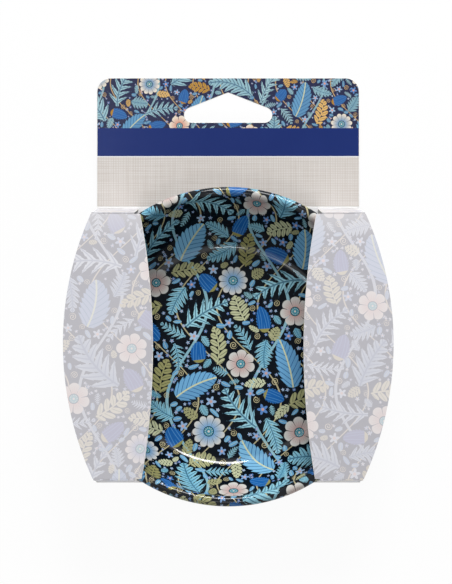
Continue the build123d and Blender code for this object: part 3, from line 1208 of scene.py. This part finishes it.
def shoulder(name, rides, sign, y_front, y_foot, shift, outer):
    """A narrow leaning wall from a front crease down to the back panel."""
    away = 1 if y_front > 0 else -1
    drop, lean = front_height - foot_height, y_foot - y_front
    slope = hypot(drop, lean)
    inner = sqrt(rim_radius ** 2 - (abs(y_front) - shift) ** 2) + rim_to_shoulder
    x_low, x_high = (inner, outer) if sign > 0 else (-outer, -inner)
    loop = polyline((x_low, crease_margin), (x_high, crease_margin), (x_high, slope),
                    (x_low, slope))
    if away < 0:
        loop = [(x, -down) for x, down in reversed(loop)]

    def lift(x, drawn, depth):
        down = away * drawn
        y = y_front + lean * down / slope - away * drop / slope * depth
        return x, y, front_height - drop * down / slope - away * lean / slope * depth

    def place(flat):
        return flat + np.array((0, y_front))

    def creased(x, drawn):
        return abs(drawn) < crease_margin + touching

    board(name, rides, [loop], lift, place, card_finishes, creased=creased)


for side, sign in sides:
    for end, *lines in (("upper", pack_top, upper_foot, upper_shift, top_half_width),
                        ("lower", -pack_bottom, -back_bottom, lower_shift, bottom_half_width)):
        rides = (end + "_" + side + "_shoulder", "pale_print", end + "_shoulder_" + side)
        shoulder(end + "_shoulder_card_" + side, rides, sign, *lines)

# %% Header
corner_steps = 12


def header_outline():
    """Header with rounded upper corners, in millimetres from the crease."""
    r = header_corner
    w, h = header_half_width, header_length
    right = arc(w - r, h - r, r, 0, 90, corner_steps)
    left = arc(-w + r, h - r, r, 90, 180, corner_steps)
    low = crease_gap / 2
    return polyline((-w, low), (w, low), *right, *left)


def hang_hole():
    """The wide three-cornered hole, run clockwise because it is a hole."""
    reach = hole_half_width - hole_end_radius
    rings = (arc(-reach, hole_foot + hole_end_radius, hole_end_radius, 0, 350, 35)
             + arc(reach, hole_foot + hole_end_radius, hole_end_radius, 0, 350, 35)
             + arc(0, hole_foot + hole_height - hole_peak_radius, hole_peak_radius, 0, 345, 23))
    return polyline(*hull(rings))[::-1]


def lift_header(x, y, depth):
    angle = radians(header_angle)
    return (x, header_crease + y * cos(angle) + depth * sin(angle),
            card + y * sin(angle) - depth * cos(angle))


def place_on_header(flat):
    """The header's print is smaller, so it takes in more of the garden."""
    return flat * header_print_scale + np.array((0, header_print_foot))


board("header_board", ("header", "header_print", "header_card"), [header_outline(), hang_hole()],
      lift_header, place_on_header, (header_print, cut_board, plain_board))

# %% Back panel
def back_outline():
    """Back of the sleeve with its neck."""
    side = [(side_x(y), y) for y in levels(-back_bottom, pack_top)]
    neck_end = header_crease - crease_gap / 2
    return polyline(*side, (top_half_width, neck_end), (-top_half_width, neck_end),
                    *mirrored(side))


def slit(sign):
    """A slit beside the header's crease, run clockwise because it is a hole."""
    end = top_half_width - slit_inset
    middle = header_crease - slit_setback - upper_shift / 2
    low, high = middle - slit_width / 2, middle + slit_width / 2
    loop = polyline((end - slit_length, low), (end, low), (end, high), (end - slit_length, high))
    return loop[::-1] if sign > 0 else mirrored(loop)[::-1]


def lift_back(x, y, depth):
    return x, y, card - depth


board("back_board", ("pack", "plain_board", "back_panel"), [back_outline(), slit(1), slit(-1)],
      lift_back, as_drawn, (plain_board, cut_board, plain_board), step=None)

# %% [markdown]
# ## Under the bowl
#
# A ring magnet is taped under the floor inside a shallow plastic cover with a rubber ring for a
# foot. Their shapes are right in the model, so they only get finishes.

# %% Finishes under the bowl
under_bowl = {
    "base_cover": grained("moulded_cover", (2.2, 3.0), ((30, 33, 38), (42, 45, 51)), (0.38, 0.2),
                          (0.35, 0.05), clouds=(0.1,), Specular_IOR_Level=0.4),
    "foot_pad": grained("pad_foam_rubber", (3.4, 2.0), ((22, 22, 24), (48, 48, 50)), (0.8, 0.15),
                        (0.6, 0.08), Specular_IOR_Level=0.2),
    "magnet_ring": grained("sintered_ferrite", (2.6, 5.0), ((38, 38, 40), (78, 78, 82)),
                           (0.45, 0.3), (0.3, 0.05), Specular_IOR_Level=0.4),
    "magnet_tape": grained("tape_foam", (2.0, 2.0), ((206, 204, 196), (238, 237, 232)),
                           (0.75, 0.2), (0.5, 0.06), Specular_IOR_Level=0.2),
}
for node, finish in under_bowl.items():
    for material_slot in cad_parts[node].material_slots:
        material_slot.material = finish.material
    print(node, "wears", finish.material.name)

# %% [markdown]
# ## Studio
#
# The photograph is a packshot on white, taken from nearly straight above. The floor and the world
# look white to the camera and to reflections, but light the object only softly. One softbox past
# the header draws the bright arc at the foot of the bowl's near wall and the line along its rim.

# %% White to the eye, soft as a light
def seen_directly(nodes):
    """1 where the camera, a reflection or a clear material looks, 0 where light is gathered."""
    camera, glossy, through = nodes.outputs(nodes.node("ShaderNodeLightPath"), "Is Camera Ray",
                                            "Is Glossy Ray", "Is Transmission Ray")
    return camera.most(glossy).most(through)


def show(nodes, share, first, second, end):
    """End a tree with the second shader by its share and the first for the rest."""
    shown = nodes.node("ShaderNodeMixShader", None, {0: share, 1: first, 2: second})
    nodes.tree.links.new(shown.socket, nodes.tree.nodes[end].inputs["Surface"])


white, light_grey = (1, 1, 1, 1), (0.85, 0.85, 0.85, 1)
floor_glow, world_strength = 0.95, 0.3
print("light from all round", world_strength)

# %% Floor
floor_drop, half_floor = 0.2 * MM, 3.0       # in metres, like everything in the studio
floor_mesh = bpy.data.meshes.new("floor")
floor_mesh.from_pydata([(x * half_floor, y * half_floor, -floor_drop)
                        for x, y in ((-1, -1), (1, -1), (1, 1), (-1, 1))], [], [(0, 1, 2, 3)])
floor = linked("floor", floor_mesh)
paper = Finish("floor_paper", roughness=0.9, Base_Color=light_grey, Specular_IOR_Level=0.0)
glow = paper.node("ShaderNodeEmission", None, {"Color": white, "Strength": 1.0})
show(paper, seen_directly(paper) * floor_glow, Value(paper, paper.shader.outputs[0]), glow,
     "Material Output")
floor_mesh.materials.append(paper.material)
print("floor of", 2 * half_floor, "m")

# %% World
world = bpy.data.worlds.new("studio")
bpy.context.scene.world = world
world.use_nodes = True
sky = Nodes(world.node_tree)
sky.tree.nodes.remove(sky.tree.nodes["Background"])
soft, bright = (sky.node("ShaderNodeBackground", None, {"Color": white, "Strength": strength})
                for strength in (world_strength, 1.0))
show(sky, seen_directly(sky), soft, bright, "World Output")
print("nodes in the world", len(sky.tree.nodes))

# %% Lamps
aim = Vector((0, 0, 0.02))


def lamp(name, location, width, depth, power):
    """A rectangular lamp in metres that points at the middle of the pack."""
    data = bpy.data.lights.new(name, "AREA")
    data.shape = "RECTANGLE"
    data.size, data.size_y, data.energy = width, depth, power
    light = linked(name, data)
    light.location = location
    light.rotation_euler = (aim - light.location).to_track_quat("-Z", "Y").to_euler()
    print(name, power, "W")


lamp("softbox", (0.1, 0.8, 0.6), 0.4, 0.36, 9.6)
lamp("left_fill", (-0.26, -0.03, 0.9), 0.38, 0.26, 1.0)
lamp("front_glint", (0.0, -0.38, 0.82), 0.16, 0.06, 0.4)

# %% Camera
camera_angle = 12            # degrees off square, as worked out from the bowl's circles
camera_data = bpy.data.cameras.new("camera")
camera_data.lens, camera_data.sensor_width = 104.6, 36
camera_data.clip_start, camera_data.clip_end = 0.01, 20
camera = linked("camera", camera_data)
camera.location = (-0.0008, -0.1072, 0.6176)
camera.rotation_euler = (radians(camera_angle), 0, 0)
bpy.context.scene.camera = camera
bpy.context.scene.view_settings.view_transform = "Standard"
print("camera", round(camera.location.length, 3), "m away, lens", camera_data.lens, "mm")
